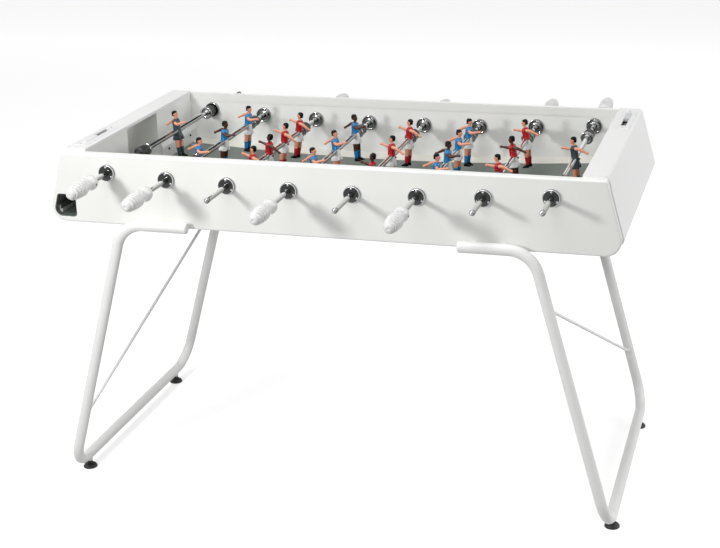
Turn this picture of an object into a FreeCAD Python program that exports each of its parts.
import FreeCAD, Part
import math
import os

from FreeCAD import Vector as V

# Home foosball table: a white cabinet on two bent-tube leg loops, with eight rods that
# slide and turn. Millimetres. X runs along the table, Y from the front side to the back,
# Z up, with the origin on the floor under the middle of the table.

os.makedirs("parts", exist_ok=True)

# ------------------------------------------------------------------ driving dimensions
# Cabinet
PANEL_TOP = 904.0            # top edge of the long side panels above the floor
PANEL_HEIGHT = 180.0
PANEL_HALF_TOP = 679.0       # half the length of a side panel along its top edge
END_SLOPE = 0.275            # both ends lean out by this much for each mm down
PANEL_WALL = 17.0
RIM_WALL = 22.0              # the panel's thicker rim along its top edge
RIM_HEIGHT = 22.0
PANEL_CORNER = 38.0          # radius of the panel's lower corners
PANEL_TOP_CORNER = 8.0
PANEL_EDGE = 5.0             # rounding of the panel's outer edge
LINER_WALL = 4.0             # glossy inner wall behind each side panel
BOTTOM_WALL = 5.0
BATTEN_WIDTH = 30.0
BATTEN_SPOTS = (-560.0, -300.0, 0.0, 300.0, 560.0)

# Playfield, dished along its length
FIELD_HALF_LENGTH = 621.0
FIELD_HALF_WIDTH = 345.0
FIELD_WALL = 6.0
FIELD_LOW = 741.5            # top of the field at its lowest line, under the middle
FIELD_RADIUS = 8200.0
RAMP_DEPTH = 30.0
RAMP_HEIGHT = 10.0
RAMP_EDGE = 0.8              # thickness left along the ramp's thin edge

# Ends: folded deck sheet, end wall with the goal mouth, rebound blocks
DECK_TOP = 910.0
DECK_OUTER = 680.0
SHEET = 3.0
DECK_LIP = 9.0
FOLD_RADIUS = 8.0
RETURN_FLANGE = 26.0
RETURN_TOP = 4.0             # top of the sheet's lower flange above the panel's lower edge
END_GROOVE = 2.0             # open line between the deck sheet and the panel's rim
GOAL_HALF = 97.0
GOAL_SLACK = 3.0             # liner's back stands this far inside the sloping end face
GOAL_CORNER = 15.0
LINER_SHEET = 2.0
SILL_DEPTH = 30.0            # bent sill that leads the ball from the mouth to the channel
SILL_FALL = 5.0
BLOCK_DEPTH = 12.0
BLOCK_FACE_TOP = 800.0
BLOCK_TOP = 830.0
BLOCK_GAP = 3.0              # block stands this far clear of the goal mouth

# Ball return: a channel from each goal to a hole low in a side panel
EXIT_FROM_END = 11.5
EXIT_INNER = 647.0
EXIT_LOW = 737.5
EXIT_HEIGHT = 59.0
EXIT_CORNER = 9.0
EXIT_LOW_CORNER = 20.0
CHANNEL_INNER = 650.0
CHANNEL_OUTER = 702.0
CHANNEL_FALL = 0.02
CHANNEL_LOW_SIDE = 6.0
CHANNEL_HIGH_SIDE = 24.0
CHANNEL_EXIT = 740.0         # height of the channel's floor at the hole

# Rods
ROD_COUNT = 8
ROD_PITCH = 158.44
ROD_LOW = 838.7              # axis height of a rod over the field's lowest line
ROD_RADIUS = 6.5
ROD_LENGTH = 1140.0          # from the tip of the handle to the plain tip
HANDLE_REACH = 636.0         # tip of the handle from the middle of the players
KEEPER_HANDLE_REACH = 653.0
TIP_RADIUS = 7.5
TIP_LENGTH = 13.0
RING_RADIUS = 17.0
RING_WIDTH = 6.0
BUMPER_RADIUS = 15.0
BUMPER_LENGTH = 38.0
FIT = 0.05                   # running clearance on a radius
SEAT = 0.02                  # clearance on a radius between pieces of one rod

# Rod bushings, one pair through each side panel
FLANGE_RADIUS = 21.0
FLANGE_WIDTH = 8.0
FLANGE_EDGE = 2.5
BUSH_RADIUS = 12.5
SLEEVE_RADIUS = 9.5
LIP_RADIUS = 7.2
LIP_WIDTH = 4.0

# Handles, from the tip to the collar
HANDLE_LENGTH = 134.0
HANDLE_BORE_DEPTH = 110.0
BARREL_RADIUS = 19.3
GROOVE_COUNT = 4
GROOVE_PITCH = 9.0
GROOVE_DEPTH = 1.6
GROOVE_START = 20.0

# Players, measured from the rod's axis
HEAD_TOP = 56.0
SOLE = 75.0
PLAYER_PITCH = {1: 0.0, 3: 184.0, 4: 125.0}
KEEPER_RING = 211.0          # inner face of a stop ring on a goalkeeper's rod
RING_FROM_PLAYER = 15.0      # inner face of a stop ring from the outer player's middle

# How each rod stands at rest: players, handle side (-1 front), facing, slide and lean
RODS = [
    {"men": 1, "side": -1, "face": 1, "slide": 81.0, "lean": -6.0},
    {"men": 3, "side": -1, "face": 1, "slide": 29.0, "lean": 4.5},
    {"men": 4, "side": 1, "face": -1, "slide": 0.0, "lean": 7.0},
    {"men": 3, "side": -1, "face": 1, "slide": 20.0, "lean": -4.0},
    {"men": 3, "side": 1, "face": -1, "slide": -7.0, "lean": 4.0},
    {"men": 4, "side": -1, "face": 1, "slide": 12.0, "lean": 3.0},
    {"men": 3, "side": 1, "face": -1, "slide": 9.0, "lean": -6.0},
    {"men": 1, "side": 1, "face": -1, "slide": -8.0, "lean": -6.0},
]

# Leg loops of bent tube, one at each end
TUBE_RADIUS = 14.0
TUBE_WALL = 2.0
LEG_PLANE = 388.0            # the legs stand outside the side panels
LEG_SLOPE = 0.28
LEG_FOOT_X = 710.0
FLOOR_RUN = 39.0             # axis height of the tube along the floor
STUB_HEIGHT = 733.0
STUB_END = 345.0
BEND_RADIUS = 75.0
CAP_LENGTH = 6.0
CAP_SPIGOT = 14.0
BOSS_RADIUS = 9.0
BOLT_RADIUS = 4.0
BOLT_HEAD = 6.5
BOLT_HEAD_LENGTH = 5.0
BOLT_SPOTS = (375.0, 445.0)
BRACE_RADIUS = 4.25
BRACE_LOW = 190.0
BRACE_HIGH = 595.0
FOOT_SPREAD = 299.5
FOOT_RADIUS = 19.0
FOOT_HEIGHT = 12.0
STEM_RADIUS = 5.0
INSERT_RADIUS = 8.0
INSERT_LOW = 20.0
INSERT_HIGH = 34.0
SHOULDER_GAP = 0.3

# Score counters in the end decks
COUNTER_X = 654.0
COUNTER_Y = 212.0
COUNTER_LENGTH = 196.0
COUNTER_WIDTH = 40.0
COUNTER_PROUD = 0.8
COUNTER_PLATE = 4.0
COUNTER_CORNER = 3.0
SLOT_LENGTH = 140.0
SLOT_WIDTH = 14.0
SLOT_CORNER = 2.0
WELL_WALL = 2.0
WELL_MARGIN = 3.0            # the well is this much wider than the slot on each side
WELL_DEPTH = 8.0
SLIDER_LENGTH = 66.0
SLIDER_PROUD = 1.6
SLIDER_FOOT = 2.5
SLIDER_GAP = 0.3
PLAY = 0.3                   # clearance between pieces that only lie beside each other

# ------------------------------------------------------------------ derived places
PANEL_BOTTOM = PANEL_TOP - PANEL_HEIGHT
LINER_FACE = FIELD_HALF_WIDTH
PANEL_INNER = LINER_FACE + LINER_WALL
PANEL_OUTER = PANEL_INNER + PANEL_WALL
RIM_INNER = PANEL_OUTER - RIM_WALL
WALL_FACE = FIELD_HALF_LENGTH
ARC_CENTRE = FIELD_LOW + FIELD_RADIUS
RING_FACE = LINER_FACE - FLANGE_WIDTH
FLANGE_FACE = PANEL_OUTER + FLANGE_WIDTH
RIM_LOW = PANEL_TOP - RIM_HEIGHT
SHEET_END = RIM_INNER - END_GROOVE          # edge of the end sheets between the rims
SKIRT_END = PANEL_INNER - END_GROOVE        # and below the rims


def field_height(x, below=0.0):
    """Top of the dished field at x, or a surface that lies so far below it."""
    return ARC_CENTRE - math.sqrt((FIELD_RADIUS + below) ** 2 - x * x)


def rod_x(i):
    return (i - (ROD_COUNT + 1) / 2) * ROD_PITCH


def rod_z(i):
    x = rod_x(i)
    radius = ARC_CENTRE - ROD_LOW
    return ARC_CENTRE - math.sqrt(radius ** 2 - x * x)


def end_x(z):
    """Outer end of a side panel at height z."""
    return PANEL_HALF_TOP + END_SLOPE * (PANEL_TOP - z)


def sheet_x(z):
    """Outer face of the sloping end sheet at height z."""
    return DECK_OUTER + END_SLOPE * (DECK_TOP - z)


def leg_x(z):
    return LEG_FOOT_X - LEG_SLOPE * (z - FLOOR_RUN)


# ------------------------------------------------------------------ helpers
def save(name, solids):
    """Write one node: a single solid, or a group of separate solids."""
    group = solids if isinstance(solids, list) else [solids]
    shape = group[0] if len(group) == 1 else Part.makeCompound(group)
    shape.exportStep("parts/" + name + ".step")


def box(x0, x1, y0, y1, z0, z1):
    return Part.makeBox(x1 - x0, y1 - y0, z1 - z0, V(x0, y0, z0))


def rod_y(radius, x, z, y0, y1):
    """Round bar along Y."""
    return Part.makeCylinder(radius, y1 - y0, V(x, y0, z), V(0, 1, 0))


def rod_between(radius, a, b):
    return Part.makeCylinder(radius, (b - a).Length, a, b - a)


def prism(points, direction):
    """Closed outline of points, pushed along a direction."""
    wire = Part.makePolygon(points + [points[0]])
    return Part.Face(wire).extrude(direction)


def turned(profile, x, z):
    """Body of revolution about Y through (x, z); the profile lists (y, radius)."""
    points = [V(x, y, z + r) for y, r in profile]
    wire = Part.makePolygon(points + [points[0]])
    return Part.Face(wire).revolve(V(x, 0, z), V(0, 1, 0), 360)


def edges_where(shape, test):
    return [e for e in shape.Edges if test(e)]


def along_y(edge):
    a, b = edge.Vertexes[0].Point, edge.Vertexes[-1].Point
    return abs(b.y - a.y) > 1 and abs(b.x - a.x) + abs(b.z - a.z) < 0.01


def half_turn(shape):
    """Copy turned half round about the table's upright axis: the other end."""
    copy = shape.copy()
    copy.rotate(V(0, 0, 0), V(0, 0, 1), 180)
    return copy


def mirrored_y(shape):
    return shape.mirror(V(0, 0, 0), V(0, 1, 0))


def mirrored_x(shape):
    return shape.mirror(V(0, 0, 0), V(1, 0, 0))


# ------------------------------------------------------------------ side panels
def exit_hole():
    """Ball-return hole, cut low in the front panel near its left end."""
    high = EXIT_LOW + EXIT_HEIGHT
    y0 = -PANEL_OUTER - 1
    low_left = V(-end_x(EXIT_LOW) + EXIT_FROM_END, y0, EXIT_LOW)
    high_left = V(-end_x(high) + EXIT_FROM_END, y0, high)
    low_right = V(-EXIT_INNER, y0, EXIT_LOW)
    high_right = V(-EXIT_INNER, y0, high)
    body = prism([low_left, low_right, high_right, high_left], V(0, PANEL_WALL + 2, 0))
    deep = edges_where(body, along_y)
    tight = [e for e in deep if (e.Vertexes[0].Point - low_left).Length > PANEL_WALL + 3]
    body = body.makeFillet(EXIT_CORNER, tight)
    wide = edges_where(body, lambda e: along_y(e) and abs(e.Vertexes[0].X - low_left.x) < 0.1
                       and abs(e.Vertexes[0].Z - low_left.z) < 0.1)
    return body.makeFillet(EXIT_LOW_CORNER, wide)


def side_panel():
    """Front panel: a trapezoid with a thicker rim, bored for the bushings and the bolts."""
    top, low = PANEL_TOP, PANEL_BOTTOM
    outline = [V(-end_x(low), 0, low), V(end_x(low), 0, low),
               V(end_x(top), 0, top), V(-end_x(top), 0, top)]
    slab = prism([p + V(0, -PANEL_OUTER, 0) for p in outline], V(0, RIM_WALL, 0))
    lower = edges_where(slab, lambda e: along_y(e) and e.Vertexes[0].Z < low + 1)
    slab = slab.makeFillet(PANEL_CORNER, lower)
    upper = edges_where(slab, lambda e: along_y(e) and e.Vertexes[0].Z > top - 1)
    slab = slab.makeFillet(PANEL_TOP_CORNER, upper)
    face = edges_where(slab, lambda e: all(abs(v.Y + PANEL_OUTER) < 0.01 for v in e.Vertexes))
    slab = slab.makeFillet(PANEL_EDGE, face)
    slab = slab.cut(box(-800, 800, -PANEL_INNER, -RIM_INNER + 1, low - 1, RIM_LOW))
    for i in range(1, ROD_COUNT + 1):
        slab = slab.cut(rod_y(BUSH_RADIUS + SEAT, rod_x(i), rod_z(i),
                              -PANEL_OUTER - 1, -PANEL_INNER + 1))
    for x in BOLT_SPOTS:
        for side in (-1, 1):
            slab = slab.cut(rod_y(BOLT_RADIUS + SEAT, side * x, STUB_HEIGHT,
                                  -PANEL_OUTER - 1, -PANEL_INNER + 1))
    return slab.cut(exit_hole())


def inner_wall():
    """Smooth inner wall on the front panel, under its rim."""
    plate = box(-WALL_FACE, WALL_FACE, -PANEL_INNER, -LINER_FACE,
                STUB_HEIGHT + BOLT_HEAD + PLAY, RIM_LOW)
    for i in range(1, ROD_COUNT + 1):
        plate = plate.cut(rod_y(BUSH_RADIUS + SEAT, rod_x(i), rod_z(i),
                                -PANEL_INNER - 1, -LINER_FACE + 1))
    return plate


# ------------------------------------------------------------------ field
def dished_plate(half_length, half_width, top, thickness):
    """Plate that follows the field's arc, its top so far above the field."""
    def arc(below):
        z_end = field_height(half_length, below)
        z_mid = field_height(0, below)
        a, b = V(-half_length, 0, z_end), V(half_length, 0, z_end)
        return Part.Arc(a, V(0, 0, z_mid), b).toShape(), a, b

    upper, a, b = arc(-top)
    lower, c, d = arc(thickness - top)
    wire = Part.Wire([upper, Part.makeLine(b, d), lower, Part.makeLine(c, a)])
    plate = Part.Face(wire).extrude(V(0, 2 * half_width, 0))
    plate.translate(V(0, -half_width, 0))
    return plate


def bottom_panel():
    """Board that closes the cabinet from below, notched round the heads of the leg bolts."""
    low = PANEL_BOTTOM + RETURN_TOP
    half = sheet_x(low + BOTTOM_WALL) - 2 * SHEET
    board = box(-half, half, -PANEL_INNER, PANEL_INNER, low, low + BOTTOM_WALL)
    for x in BOLT_SPOTS:
        notch = rod_y(BOLT_HEAD + 1, x, STUB_HEIGHT, PANEL_INNER - BOLT_HEAD_LENGTH - 1, PANEL_OUTER)
        for cut in (notch, mirrored_y(notch), mirrored_x(notch), half_turn(notch)):
            board = board.cut(cut)
    return board


def side_ramp():
    """Low ramp along the front edge of the field that brings the ball back."""
    wall, z = -FIELD_HALF_WIDTH, FIELD_LOW
    reach = math.degrees(math.asin(WALL_FACE / FIELD_RADIUS)) + 0.1
    section = Part.Face(Part.makePolygon([
        V(0, wall, z), V(0, wall, z + RAMP_HEIGHT),
        V(0, wall + RAMP_DEPTH, z + RAMP_EDGE), V(0, wall + RAMP_DEPTH, z), V(0, wall, z)]))
    section.rotate(V(0, 0, ARC_CENTRE), V(0, 1, 0), -reach)
    strip = section.revolve(V(0, 0, ARC_CENTRE), V(0, 1, 0), 2 * reach)
    end = WALL_FACE - BLOCK_DEPTH
    return strip.common(box(-end, end, wall - 1, 0, z - 50, z + 100))


def batten(x):
    """Support under the field, its top cut to the field's underside."""
    low = PANEL_BOTTOM + RETURN_TOP + BOTTOM_WALL
    bar = box(x - BATTEN_WIDTH / 2, x + BATTEN_WIDTH / 2,
              -RIM_INNER + 6, RIM_INNER - 6, low, FIELD_LOW + 40)
    under = Part.makeCylinder(FIELD_RADIUS + FIELD_WALL, 900, V(0, -450, ARC_CENTRE), V(0, 1, 0))
    return bar.cut(under)


# ------------------------------------------------------------------ ends
def folded(points, thickness):
    """Section of a folded sheet: the outer line of points and its offset inwards."""
    inner = []
    for k, p in enumerate(points):
        before = points[k] - points[k - 1] if k else points[1] - points[0]
        after = points[k + 1] - p if k < len(points) - 1 else before
        n0 = V(before.z, 0, -before.x).normalize()
        n1 = V(after.z, 0, -after.x).normalize()
        bisector = (n0 + n1).normalize()
        inner.append(p + bisector * (thickness / bisector.dot(n0)))
    return points + inner[::-1]


def end_cabinet():
    """Right end: deck and sloping end face, one folded sheet."""
    low = PANEL_BOTTOM + RETURN_TOP - SHEET
    slope_end = DECK_OUTER + END_SLOPE * (DECK_TOP - low)
    line = [V(WALL_FACE, 0, DECK_TOP - DECK_LIP), V(WALL_FACE, 0, DECK_TOP),
            V(DECK_OUTER, 0, DECK_TOP), V(slope_end, 0, low),
            V(slope_end - RETURN_FLANGE, 0, low)]
    sheet = prism([p + V(0, -SKIRT_END, 0) for p in folded(line, SHEET)],
                  V(0, 2 * SKIRT_END, 0))
    fold = edges_where(sheet, lambda e: along_y(e)
                       and abs(e.Vertexes[0].X - DECK_OUTER) < 0.1
                       and abs(e.Vertexes[0].Z - DECK_TOP) < 0.1)
    sheet = sheet.makeFillet(FOLD_RADIUS, fold)
    lip = edges_where(sheet, lambda e: along_y(e)
                      and abs(e.Vertexes[0].X - WALL_FACE) < 0.1
                      and abs(e.Vertexes[0].Z - DECK_TOP) < 0.1)
    sheet = sheet.makeFillet(SHEET / 2, lip)
    seat = counter_blank(COUNTER_LENGTH + 2 * PLAY, COUNTER_WIDTH + 2 * PLAY,
                         DECK_TOP - SHEET - 1, DECK_TOP + 1)
    for y0, y1 in ((-SKIRT_END - 1, -SHEET_END), (SHEET_END, SKIRT_END + 1)):
        sheet = sheet.cut(box(WALL_FACE - 1, 800, y0, y1, RIM_LOW - END_GROOVE, DECK_TOP + 1))
    return sheet.cut(seat)


def end_wall():
    """Right end wall of the playing area, with the goal mouth cut down from its top."""
    top = DECK_TOP - DECK_LIP
    low = PANEL_BOTTOM + RETURN_TOP + BOTTOM_WALL
    wall = box(WALL_FACE, WALL_FACE + SHEET, -SHEET_END, SHEET_END, low, top)
    wall = wall.fuse(box(WALL_FACE, WALL_FACE + SHEET, -PANEL_INNER, PANEL_INNER, low, RIM_LOW))
    mouth = box(WALL_FACE - 1, WALL_FACE + SHEET + 1, -GOAL_HALF, GOAL_HALF,
                field_height(WALL_FACE), top + 1)
    return wall.removeSplitter().cut(mouth)


def channel_top(y):
    """Top of the ball channel's higher side at y, for the channel of the left end."""
    return CHANNEL_EXIT + CHANNEL_FALL * (y + PANEL_INNER) + CHANNEL_HIGH_SIDE


def goal_liner():
    """Right goal's liner: a sheet bent round the pocket, its back leaning with the end."""
    low = channel_top(GOAL_HALF) + GOAL_SLACK
    top = DECK_TOP - SHEET

    def outline(z, inset):
        """Plan of the pocket at height z: two sides, a back and two bent corners."""
        x0 = WALL_FACE + SHEET
        x1 = sheet_x(z) - SHEET - GOAL_SLACK - inset
        y = GOAL_HALF + LINER_SHEET - inset
        r = GOAL_CORNER - inset
        k = r * (1 - math.sqrt(0.5))
        right = Part.Arc(V(x1 - r, -y, z), V(x1 - k, -y + k, z), V(x1, -y + r, z)).toShape()
        left = Part.Arc(V(x1, y - r, z), V(x1 - k, y - k, z), V(x1 - r, y, z)).toShape()
        return Part.Wire([Part.makeLine(V(x0, -y, z), V(x1 - r, -y, z)), right,
                          Part.makeLine(V(x1, -y + r, z), V(x1, y - r, z)), left,
                          Part.makeLine(V(x1 - r, y, z), V(x0, y, z)),
                          Part.makeLine(V(x0, y, z), V(x0, -y, z))])

    outer = Part.makeLoft([outline(low, 0), outline(top, 0)], True, True)
    inner = Part.makeLoft([outline(low, LINER_SHEET), outline(top, LINER_SHEET)], True, True)
    return outer.cut(inner)


def goal_sill():
    """Bent sill under the right goal mouth, from the field down to the channel."""
    half = GOAL_HALF - GOAL_SLACK
    x0, x1 = WALL_FACE + SHEET, WALL_FACE + SHEET + SILL_DEPTH
    z0 = field_height(WALL_FACE)
    z1 = z0 - SILL_FALL
    section = [V(x0, -half, z0), V(x1, -half, z1), V(x1, -half, z1 - LINER_SHEET),
               V(x0 + LINER_SHEET, -half, z0 - LINER_SHEET),
               V(x0 + LINER_SHEET, -half, z0 - 4 * LINER_SHEET),
               V(x0, -half, z0 - 4 * LINER_SHEET)]
    return prism(section, V(0, 2 * half, 0))


def rebound_block():
    """Moulded block on the end wall beside the goal, right end, back half."""
    face = WALL_FACE - BLOCK_DEPTH
    y0 = GOAL_HALF + BLOCK_GAP
    section = [V(WALL_FACE, y0, field_height(WALL_FACE)), V(WALL_FACE, y0, BLOCK_TOP),
               V(WALL_FACE - 2, y0, BLOCK_TOP - 6), V(face, y0, BLOCK_FACE_TOP),
               V(face, y0, field_height(WALL_FACE))]
    block = prism(section, V(0, FIELD_HALF_WIDTH - y0, 0))
    rounded = edges_where(block, lambda e: along_y(e)
                          and abs(e.Vertexes[0].X - face) < 0.1
                          and abs(e.Vertexes[0].Z - BLOCK_FACE_TOP) < 0.1)
    upright = edges_where(block, lambda e: all(abs(v.X - face) < 0.1 and abs(v.Y - y0) < 0.1
                                               for v in e.Vertexes))
    return block.makeFillet(3.0, rounded + upright)


def ball_channel():
    """Left ball channel: an open trough that falls from the goal to the front panel's hole."""
    y0, y1 = -PANEL_INNER, GOAL_HALF + 8
    z, t = CHANNEL_EXIT, LINER_SHEET
    a, b = -CHANNEL_OUTER, -CHANNEL_INNER
    section = [V(a - t, y0, z - t), V(b + t, y0, z - t), V(b + t, y0, z + CHANNEL_LOW_SIDE),
               V(b, y0, z + CHANNEL_LOW_SIDE), V(b, y0, z), V(a, y0, z),
               V(a, y0, z + CHANNEL_HIGH_SIDE), V(a - t, y0, z + CHANNEL_HIGH_SIDE)]
    length = y1 - y0
    trough = prism(section, V(0, length, CHANNEL_FALL * length))
    stop_z = z + CHANNEL_FALL * length
    stop = box(a - t, b + t, y1, y1 + t, stop_z - t, stop_z + CHANNEL_LOW_SIDE)
    return trough.fuse(stop).removeSplitter()


# ------------------------------------------------------------------ score counters
def counter_blank(length, width, z0, z1, corner=COUNTER_CORNER):
    """Upright block with rounded corners at the right-hand counter."""
    block = box(COUNTER_X - width / 2, COUNTER_X + width / 2,
                COUNTER_Y - length / 2, COUNTER_Y + length / 2, z0, z1)
    upright = edges_where(block, lambda e: abs(e.Vertexes[0].Z - e.Vertexes[-1].Z) > 0.5)
    return block.makeFillet(corner, upright)


def score_counter():
    """Counter moulding: the plate in the deck, with a well under its slot."""
    top = DECK_TOP + COUNTER_PROUD
    under = top - COUNTER_PLATE
    plate = counter_blank(COUNTER_LENGTH, COUNTER_WIDTH, under, top)
    rim = edges_where(plate, lambda e: all(abs(v.Z - top) < 0.01 for v in e.Vertexes))
    plate = plate.makeChamfer(COUNTER_PROUD / 2, rim)
    inner_length = SLOT_LENGTH + 2 * WELL_MARGIN
    inner_width = SLOT_WIDTH + 2 * WELL_MARGIN
    well = counter_blank(inner_length + 2 * WELL_WALL, inner_width + 2 * WELL_WALL,
                         under - WELL_DEPTH - WELL_WALL, under, 2.0)
    body = plate.fuse(well)
    body = body.cut(counter_blank(inner_length, inner_width, under - WELL_DEPTH, under, 1.0))
    return body.cut(counter_blank(SLOT_LENGTH, SLOT_WIDTH, under - 1, top + 1, SLOT_CORNER))


def slider_blank(past, width, z0, z1):
    """Rounded block of the slider, reaching so far past its two ends."""
    length = SLIDER_LENGTH + 2 * past
    middle = COUNTER_Y + SLOT_LENGTH / 2 - SLIDER_GAP - SLIDER_LENGTH / 2
    block = box(COUNTER_X - width / 2, COUNTER_X + width / 2,
                middle - length / 2, middle + length / 2, z0, z1)
    upright = edges_where(block, lambda e: abs(e.Vertexes[0].Z - e.Vertexes[-1].Z) > 0.5)
    return block.makeFillet(SLOT_CORNER, upright)


def score_slider():
    """Slider of the right-hand counter, at the outer end of its slot."""
    top = DECK_TOP + COUNTER_PROUD
    under = top - COUNTER_PLATE - SLIDER_GAP
    body = slider_blank(0, SLOT_WIDTH - 2 * SLIDER_GAP, under - 1, top + SLIDER_PROUD)
    foot = slider_blank(WELL_MARGIN - 1, SLOT_WIDTH + 2 * WELL_MARGIN - 2,
                        under - SLIDER_FOOT, under)
    return body.fuse(foot).removeSplitter()


# ------------------------------------------------------------------ bushings and sleeves
def bushing(i, side):
    """Outer bushing: a flange outside the panel and a spigot through it."""
    face, seat, end = side * FLANGE_FACE, side * PANEL_OUTER, side * LINER_FACE
    edge = face - side * FLANGE_EDGE
    inside = face - side * LIP_WIDTH
    profile = [(face, LIP_RADIUS), (face, FLANGE_RADIUS - FLANGE_EDGE), (edge, FLANGE_RADIUS),
               (seat, FLANGE_RADIUS), (seat, BUSH_RADIUS), (end, BUSH_RADIUS),
               (end, SLEEVE_RADIUS + FIT), (inside, SLEEVE_RADIUS + FIT), (inside, LIP_RADIUS)]
    return turned(profile, rod_x(i), rod_z(i))


def bushing_ring(i, side):
    """Ring inside the wall that closes the bushing over its sleeve."""
    face, seat = side * RING_FACE, side * LINER_FACE
    edge = face + side * FLANGE_EDGE
    profile = [(face, LIP_RADIUS), (face, FLANGE_RADIUS - FLANGE_EDGE), (edge, FLANGE_RADIUS),
               (seat, FLANGE_RADIUS), (seat, LIP_RADIUS)]
    return turned(profile, rod_x(i), rod_z(i))


def sleeve(i, side):
    """Nylon sleeve that turns in the bushing while the rod slides through it."""
    a = side * (LINER_FACE + SHOULDER_GAP)
    b = side * (FLANGE_FACE - LIP_WIDTH - SHOULDER_GAP)
    profile = [(a, ROD_RADIUS + FIT), (a, SLEEVE_RADIUS), (b, SLEEVE_RADIUS),
               (b, ROD_RADIUS + FIT)]
    return turned(profile, rod_x(i), rod_z(i))


# ------------------------------------------------------------------ rods and handles
def player_places(rod):
    """Places of the players along the rod at rest."""
    count, pitch = rod["men"], PLAYER_PITCH[rod["men"]]
    return [rod["slide"] + (k - (count - 1) / 2) * pitch for k in range(count)]


def ring_reach(rod):
    if rod["men"] == 1:
        return KEEPER_RING
    return (rod["men"] - 1) / 2 * PLAYER_PITCH[rod["men"]] + RING_FROM_PLAYER


def handle_tip(rod):
    reach = KEEPER_HANDLE_REACH if rod["men"] == 1 else HANDLE_REACH
    return rod["slide"] + rod["side"] * reach


def rod_solids(i, rod):
    """Bar, plain tip, and a stop ring and a rubber bumper at each end of the players."""
    x, z, side = rod_x(i), rod_z(i), rod["side"]
    tip = handle_tip(rod)
    plain = tip - side * ROD_LENGTH
    bar_end = tip - side * (HANDLE_LENGTH - HANDLE_BORE_DEPTH)
    bar_plain = plain + side * TIP_LENGTH
    bar = rod_y(ROD_RADIUS, x, z, min(bar_end, bar_plain), max(bar_end, bar_plain))
    neck = bar_plain - side * 3
    cap = turned([(bar_plain, 0), (bar_plain, ROD_RADIUS), (neck, TIP_RADIUS),
                  (plain + side * 6, TIP_RADIUS), (plain + side * 1.6, TIP_RADIUS * 0.7),
                  (plain, TIP_RADIUS * 0.25), (plain, 0)], x, z)
    solids = [bar, cap]
    for end in (-1, 1):
        a = rod["slide"] + end * ring_reach(rod)
        b = a + end * RING_WIDTH
        c = b + end * BUMPER_LENGTH
        bore = ROD_RADIUS + SEAT
        solids.append(turned([(a, bore), (a, RING_RADIUS - 1), (a + end, RING_RADIUS),
                              (b, RING_RADIUS), (b, bore)], x, z))
        solids.append(turned([(b, bore), (b, BUMPER_RADIUS), (c - end * 4, BUMPER_RADIUS),
                              (c, BUMPER_RADIUS - 3), (c, bore)], x, z))
    return solids


def handle(i, rod):
    """Handle: stepped tip, grooved barrel, waist and flared collar, bored for the rod."""
    side = -rod["side"]
    tip = handle_tip(rod)
    outline = [(0, 4.0), (1.5, 8.5), (5, 11.5), (11, 12.2), (13, 15.6)]
    groove_end = GROOVE_START + GROOVE_COUNT * GROOVE_PITCH
    for k in range(GROOVE_COUNT):
        s = GROOVE_START + k * GROOVE_PITCH
        swell = 17.6 + (BARREL_RADIUS - 17.6) * (k + 1) / GROOVE_COUNT
        outline += [(s, swell), (s + GROOVE_PITCH - 3, swell),
                    (s + GROOVE_PITCH - 1.5, swell - GROOVE_DEPTH)]
    outline += [(groove_end, BARREL_RADIUS), (groove_end + 8, BARREL_RADIUS),
                (84, 16.2), (98, 13.8), (108, 14.4), (116, 17.0), (122, 18.0),
                (127, 17.4), (131, 14.5), (HANDLE_LENGTH, 9.0)]
    bore = ROD_RADIUS + SEAT
    inside = HANDLE_LENGTH - HANDLE_BORE_DEPTH
    profile = [(0, 0)] + outline + [(HANDLE_LENGTH, bore), (inside, bore), (inside, 0)]
    return turned([(tip + side * s, r) for s, r in profile], rod_x(i), rod_z(i))


# ------------------------------------------------------------------ players
def ring_level(x, y, z, depth, width, cut):
    """Level eight-sided ring, so rings of any size join with flat faces."""
    a, b = depth / 2, width / 2
    corners = [(a, -b + cut), (a, b - cut), (a - cut, b), (-a + cut, b),
               (-a, b - cut), (-a, -b + cut), (-a + cut, -b), (a - cut, -b)]
    points = [V(x + u, y + v, z) for u, v in corners]
    return Part.makePolygon(points + [points[0]])


def ring_upright(x, y, z, width, height):
    """Upright four-sided ring across an arm."""
    b, c = width / 2, height / 2
    points = [V(x, y - b, z - c), V(x, y + b, z - c), V(x, y + b, z + c), V(x, y - b, z + c)]
    return Part.makePolygon(points + [points[0]])


def loft(rings):
    return Part.makeLoft(rings, True, True)


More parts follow.
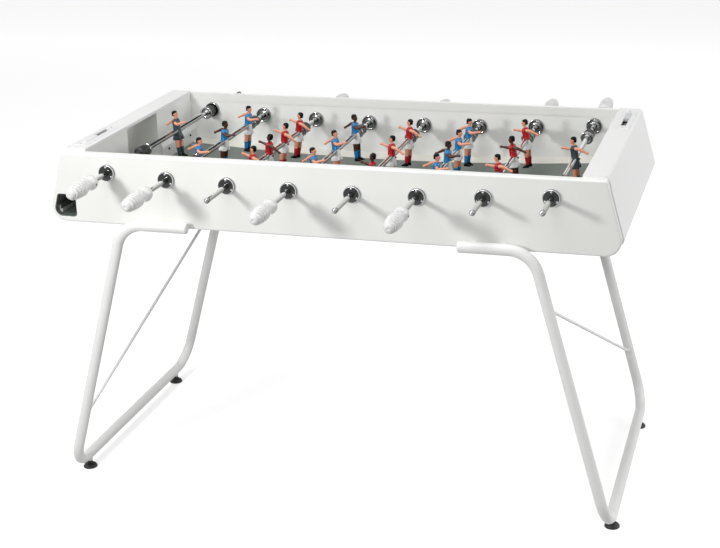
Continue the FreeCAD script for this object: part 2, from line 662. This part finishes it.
def figure():
    """One moulded player facing +X, with the rod's axis at its origin."""
    body = loft([ring_level(*r) for r in (
        (1.0, 0, HEAD_TOP, 9, 7, 2.5), (0.5, 0, HEAD_TOP - 4, 15, 12, 4),
        (0.5, 0, HEAD_TOP - 11, 16, 13, 4.2), (1.5, 0, HEAD_TOP - 17.5, 11, 9, 3),
        (0.0, 0, 36, 9, 9, 2.8), (0.0, 0, 33.5, 17, 24, 4), (0.0, 0, 28, 20, 29, 5),
        (0.5, 0, 17, 20, 26, 5), (0.0, 0, 6, 18, 22, 4.5), (0.0, 0, -2, 21, 25, 5),
        (0.0, 0, -23, 25, 28, 6))])
    parts = []
    for side, stride in ((1, 4.0), (-1, -4.0)):
        y = side * 6.6
        parts.append(loft([ring_level(*r) for r in (
            (stride * 0.4, y, -22, 13, 11.5, 3.4), (stride * 0.8, y, -44, 10.5, 9.5, 2.8),
            (stride, y, -52, 11, 9.5, 2.8), (stride, y, -67, 8.5, 8.5, 2.4))]))
        parts.append(loft([ring_level(*r) for r in (
            (stride, y, -66, 10, 9, 2.4), (stride + 3, y, -70, 17, 9.5, 2.4),
            (stride + 4, y, -SOLE, 20, 9.5, 3))]))
    parts.append(loft([ring_upright(*r) for r in (
        (-4, -13, 27, 9, 10), (12, -16.5, 22, 7.5, 7.5), (30, -17, 24, 6, 5.5),
        (36, -17, 25, 6.5, 6.5))]))
    parts.append(loft([ring_upright(*r) for r in (
        (4, 13, 28, 9, 9), (-14, 16.5, 27, 7.5, 7.5), (-30, 18, 19, 6, 5.5),
        (-36, 18, 15, 6.5, 6.5))]))
    body = body.fuse(parts).removeSplitter()
    return body.cut(rod_y(ROD_RADIUS + SEAT, 0, 0, -40, 40))


FIGURE = figure()


def players(i, rod):
    group = []
    for y in player_places(rod):
        man = FIGURE.copy()
        if rod["face"] < 0:
            man.rotate(V(0, 0, 0), V(0, 0, 1), 180)
        man.rotate(V(0, 0, 0), V(0, 1, 0), rod["lean"])
        man.translate(V(rod_x(i), y, rod_z(i)))
        group.append(man)
    return group


# ------------------------------------------------------------------ legs
def bent_bar(points, bend, radius):
    """Round bar along straight runs, with a torus piece of one radius at each corner."""
    pieces = []
    start = points[0]
    for k in range(1, len(points) - 1):
        corner = points[k]
        u = (points[k - 1] - corner).normalize()
        w = (points[k + 1] - corner).normalize()
        half = math.acos(max(-1.0, min(1.0, u.dot(w)))) / 2
        back = bend / math.tan(half)
        a, b = corner + u * back, corner + w * back
        centre = corner + (u + w).normalize() * (bend / math.sin(half))
        disc = Part.Face(Part.Wire(Part.makeCircle(radius, a, u)))
        pieces.append(rod_between(radius, start, a))
        pieces.append(disc.revolve(centre, w.cross(u), 180 - math.degrees(2 * half)))
        start = b
    pieces.append(rod_between(radius, start, points[-1]))
    return pieces[0].fuse(pieces[1:]).removeSplitter()


def leg_points():
    """Corners of the right-hand loop, from its front stub round to its back stub."""
    front = [V(STUB_END, -LEG_PLANE, STUB_HEIGHT), V(leg_x(STUB_HEIGHT), -LEG_PLANE, STUB_HEIGHT),
             V(LEG_FOOT_X, -LEG_PLANE, FLOOR_RUN)]
    return front + [V(p.x, -p.y, p.z) for p in reversed(front)]


def leg_loop():
    """Right-hand loop with its welded bosses: bolt bosses above, foot inserts below."""
    outer = bent_bar(leg_points(), BEND_RADIUS, TUBE_RADIUS)
    inside = bent_bar(leg_points(), BEND_RADIUS, TUBE_RADIUS - TUBE_WALL)
    tube = outer
    for side in (-1, 1):
        for x in BOLT_SPOTS:
            boss = rod_y(BOSS_RADIUS, x, STUB_HEIGHT, PANEL_OUTER, LEG_PLANE)
            tube = tube.fuse(boss if side > 0 else mirrored_y(boss))
    tube = tube.cut(inside)
    for side in (-1, 1):
        for x in BOLT_SPOTS:
            hole = rod_y(BOLT_RADIUS + SEAT, x, STUB_HEIGHT, PANEL_OUTER - 1, LEG_PLANE)
            tube = tube.cut(hole if side > 0 else mirrored_y(hole))
        spot = V(LEG_FOOT_X, side * FOOT_SPREAD, INSERT_LOW)
        height = INSERT_HIGH - INSERT_LOW
        insert = Part.makeCylinder(INSERT_RADIUS, height, spot)
        tube = tube.fuse(insert)
        tube = tube.cut(Part.makeCylinder(STEM_RADIUS + FIT, height + 2, spot - V(0, 0, 1)))
    return tube, outer


def brace(outer):
    """Diagonal bar of the right-hand loop, from high in front to low at the back."""
    a = V(leg_x(BRACE_HIGH), -LEG_PLANE, BRACE_HIGH)
    b = V(leg_x(BRACE_LOW), LEG_PLANE, BRACE_LOW)
    return rod_between(BRACE_RADIUS, a, b).cut(outer)


def leg_bolt(x, side):
    """Bolt from inside the front panel into the stub of a leg."""
    head = rod_y(BOLT_HEAD, x, STUB_HEIGHT, PANEL_INNER - BOLT_HEAD_LENGTH, PANEL_INNER)
    shank = rod_y(BOLT_RADIUS, x, STUB_HEIGHT, PANEL_INNER, LEG_PLANE - 5)
    bolt = head.fuse(shank)
    return bolt if side > 0 else mirrored_y(bolt)


def end_cap():
    """Domed cap in the end of the right-hand loop's back stub."""
    start = V(STUB_END - CAP_LENGTH, LEG_PLANE, STUB_HEIGHT)
    dome = rod_between(TUBE_RADIUS, start, start + V(CAP_LENGTH, 0, 0))
    outer = edges_where(dome, lambda e: abs(e.BoundBox.XMax - start.x) < 0.01)
    dome = dome.makeFillet(CAP_LENGTH - 1, outer)
    spigot = rod_between(TUBE_RADIUS - TUBE_WALL - SEAT, start + V(CAP_LENGTH, 0, 0),
                         start + V(CAP_LENGTH + CAP_SPIGOT, 0, 0))
    return dome.fuse(spigot)


def foot(x, y):
    """Levelling foot: a domed pad, a shoulder under the insert and a threaded stem."""
    profile = [V(0, 0, 0), V(FOOT_RADIUS - 1, 0, 0), V(FOOT_RADIUS, 0, 1),
               V(FOOT_RADIUS, 0, 4), V(FOOT_RADIUS - 3, 0, 8), V(10, 0, FOOT_HEIGHT),
               V(7, 0, FOOT_HEIGHT), V(7, 0, INSERT_LOW - SHOULDER_GAP),
               V(STEM_RADIUS, 0, INSERT_LOW - SHOULDER_GAP), V(STEM_RADIUS, 0, INSERT_HIGH + 4),
               V(0, 0, INSERT_HIGH + 4)]
    wire = Part.makePolygon(profile + [profile[0]])
    body = Part.Face(wire).revolve(V(0, 0, 0), V(0, 0, 1), 360)
    body.translate(V(x, y, 0))
    return body


# ------------------------------------------------------------------ the whole table
front_panel = side_panel()
save("side_panel_front", front_panel)
save("side_panel_back", half_turn(front_panel))
front_wall = inner_wall()
save("inner_walls", [front_wall, half_turn(front_wall)])

right_end = end_cabinet()
save("end_cabinet_right", right_end)
save("end_cabinet_left", half_turn(right_end))
wall = end_wall()
save("end_walls", [wall, half_turn(wall)])
liner, sill = goal_liner(), goal_sill()
save("goal_pockets", [liner, half_turn(liner), sill, half_turn(sill)])
block = rebound_block()
save("rebound_blocks", [block, mirrored_y(block), mirrored_x(block), half_turn(block)])

save("playfield", dished_plate(FIELD_HALF_LENGTH, FIELD_HALF_WIDTH, 0, FIELD_WALL))
ramp = side_ramp()
save("side_ramps", [ramp, half_turn(ramp)])
save("bottom_panel", bottom_panel())
save("field_battens", [batten(x) for x in BATTEN_SPOTS])
channel = ball_channel()
save("ball_channels", [channel, half_turn(channel)])

counter = score_counter()
save("score_counters", [counter, half_turn(counter)])
slider = score_slider()
save("score_slider_right", slider)
far_slider = half_turn(slider)
save("score_slider_left", far_slider)

rod_numbers = range(1, ROD_COUNT + 1)
save("bushings", [bushing(i, side) for i in rod_numbers for side in (-1, 1)])
save("bushing_rings", [bushing_ring(i, side) for i in rod_numbers for side in (-1, 1)])
for i in rod_numbers:
    rod = RODS[i - 1]
    save("sleeves_%d" % i, [sleeve(i, side) for side in (-1, 1)])
    save("rod_%d" % i, rod_solids(i, rod))
    save("handle_%d" % i, handle(i, rod))
    save("players_%d" % i, players(i, rod))

loop, loop_outer = leg_loop()
save("leg_loop_right", loop)
save("leg_loop_left", half_turn(loop))
bar = brace(loop_outer)
save("brace_right", bar)
save("brace_left", half_turn(bar))
save("leg_bolts", [leg_bolt(end * x, side) for x in BOLT_SPOTS
                   for end in (-1, 1) for side in (-1, 1)])
cap = end_cap()
save("tube_caps", [cap, mirrored_y(cap), mirrored_x(cap), half_turn(cap)])
for where, x, y in (("front_left", -1, -1), ("front_right", 1, -1),
                    ("back_left", -1, 1), ("back_right", 1, 1)):
    save("foot_" + where, foot(x * LEG_FOOT_X, y * FOOT_SPREAD))
